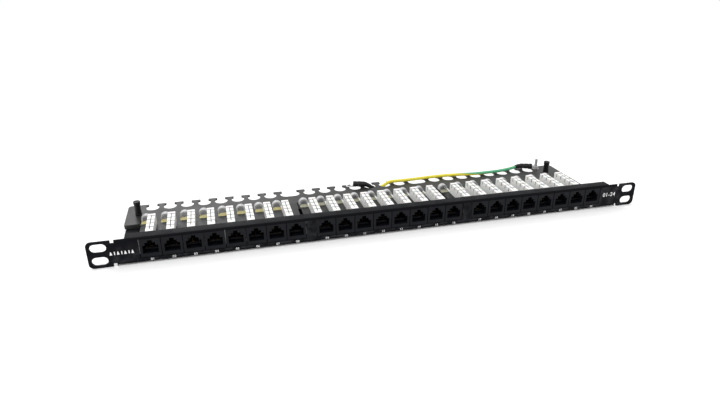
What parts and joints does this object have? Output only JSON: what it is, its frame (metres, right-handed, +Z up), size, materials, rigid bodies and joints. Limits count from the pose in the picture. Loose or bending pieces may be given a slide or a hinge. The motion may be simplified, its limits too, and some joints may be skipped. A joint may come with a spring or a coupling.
{
  "type": "patch panel",
  "caption": "Half-height rack patch panel with modular jacks in front, wire termination blocks on boards behind, a slotted cable bar and a grounding wire",
  "frame": {"origin": "centre of the panel's footprint, level with the bottom of the rack ears", "axes": "+X along the panel, +Y from the front face to the rear, +Z up"},
  "size_m": [0.4826, 0.1018, 0.022],
  "materials": {
    "black_paint": "fine textured black powder coat",
    "bar_paint": "fine textured dark grey powder coat",
    "board": "circuit board laminate with dark solder mask",
    "jack_plastic": "black moulded thermoplastic",
    "white_plastic": "white moulded thermoplastic",
    "screw_black": "black coated steel",
    "steel": "zinc or tin plated",
    "wire_jacket": "smooth yellow and green wire insulation"
  },
  "bodies": {
    "panel": {"front_panel": "black_paint", "rear_cable_bar": "bar_paint", "circuit_board_1": "board", "circuit_board_2": "board", "circuit_board_3": "board", "jack_01": "jack_plastic", "jack_02": "jack_plastic", "jack_03": "jack_plastic", "jack_04": "jack_plastic", "jack_05": "jack_plastic", "jack_06": "jack_plastic", "jack_07": "jack_plastic", "jack_08": "jack_plastic", "jack_09": "jack_plastic", "jack_10": "jack_plastic", "jack_11": "jack_plastic", "jack_12": "jack_plastic", "jack_13": "jack_plastic", "jack_14": "jack_plastic", "jack_15": "jack_plastic", "jack_16": "jack_plastic", "jack_17": "jack_plastic", "jack_18": "jack_plastic", "jack_19": "jack_plastic", "jack_20": "jack_plastic", "jack_21": "jack_plastic", "jack_22": "jack_plastic", "jack_23": "jack_plastic", "jack_24": "jack_plastic", "idc_block_01": "white_plastic", "idc_block_02": "white_plastic", "idc_block_03": "white_plastic", "idc_block_04": "white_plastic", "idc_block_05": "white_plastic", "idc_block_06": "white_plastic", "idc_block_07": "white_plastic", "idc_block_08": "white_plastic", "idc_block_09": "white_plastic", "idc_block_10": "white_plastic", "idc_block_11": "white_plastic", "idc_block_12": "white_plastic", "idc_block_13": "white_plastic", "idc_block_14": "white_plastic", "idc_block_15": "white_plastic", "idc_block_16": "white_plastic", "idc_block_17": "white_plastic", "idc_block_18": "white_plastic", "idc_block_19": "white_plastic", "idc_block_20": "white_plastic", "idc_block_21": "white_plastic", "idc_block_22": "white_plastic", "idc_block_23": "white_plastic", "idc_block_24": "white_plastic", "ground_stud": "steel", "ring_lug_stud": "steel", "ring_lug_free": "steel", "ground_wire": "wire_jacket"},
    "thumbscrew_left": {"thumbscrew_left": "screw_black"},
    "thumbscrew_right": {"thumbscrew_right": "screw_black"},
    "ground_nut": {"ground_nut": "steel"}
  },
  "joints": [
    {"name": "thumbscrew_left_turn", "type": "hinge", "parent": "panel", "child": "thumbscrew_left", "pos_m": [-0.2116, 0.02955, 0.006], "axis": [0, 0, 1], "range_deg": [-180, 180]},
    {"name": "thumbscrew_right_turn", "type": "hinge", "parent": "panel", "child": "thumbscrew_right", "pos_m": [0.1964, 0.02955, 0.006], "axis": [0, 0, 1], "range_deg": [-180, 180]},
    {"name": "ground_nut_turn", "type": "hinge", "parent": "panel", "child": "ground_nut", "pos_m": [0.193, 0.04405, 0.007], "axis": [0, 0, 1], "range_deg": [-180, 180]}
  ]
}
